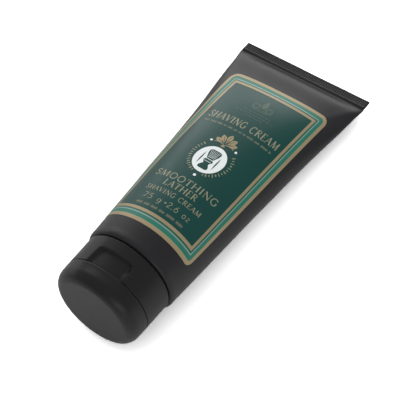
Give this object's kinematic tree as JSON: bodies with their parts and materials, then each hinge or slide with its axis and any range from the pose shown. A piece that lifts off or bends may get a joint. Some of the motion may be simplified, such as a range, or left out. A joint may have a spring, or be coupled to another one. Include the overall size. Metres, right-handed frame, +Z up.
{
  "type": "shaving cream tube",
  "caption": "Round plastic squeeze tube lying on its back, flattening to a ribbed welded tail, with a flush flip-top cap and a printed front label.",
  "frame": {"origin": "centre of the bounding box on the surface the tube lies on", "axes": "+Y from the cap towards the welded tail, +Z up out of the label, +X to the right as the label reads with the cap at the bottom"},
  "size_m": [0.0596, 0.1436, 0.0379],
  "materials": {
    "sleeve": "satin",
    "crimp": "satin, ribbed",
    "head": "matte",
    "cap": "matte, finely textured",
    "hinge": "thin flexed film",
    "cream": "soft wet cream",
    "label_green": "printed ink, satin",
    "label_teal": "printed ink, satin",
    "label_silver": "printed ink, satin",
    "label_gold": "metallic ink",
    "label_badge": "printed ink, satin"
  },
  "bodies": {
    "tube": {"tube_sleeve": "sleeve", "tail_crimp": "crimp", "tube_head": "head", "cap_base": "cap", "hinge_film_left": "hinge", "hinge_film_right": "hinge", "hinge_strap": "hinge", "cream_fill": "cream", "front_label": "label_green", "label_outer_line": "label_gold", "label_teal_band": "label_teal", "label_silver_line": "label_silver", "label_inner_line": "label_gold", "label_badge": "label_badge"},
    "lid": {"cap_lid": "cap"}
  },
  "joints": [
    {"name": "lid_hinge", "type": "hinge", "parent": "tube", "child": "lid", "pos_m": [0, -0.06384, 0.00161], "axis": [1, 0, 0], "range_deg": [0, 135], "deforming": ["hinge_film_left", "hinge_film_right", "hinge_strap"]}
  ]
}
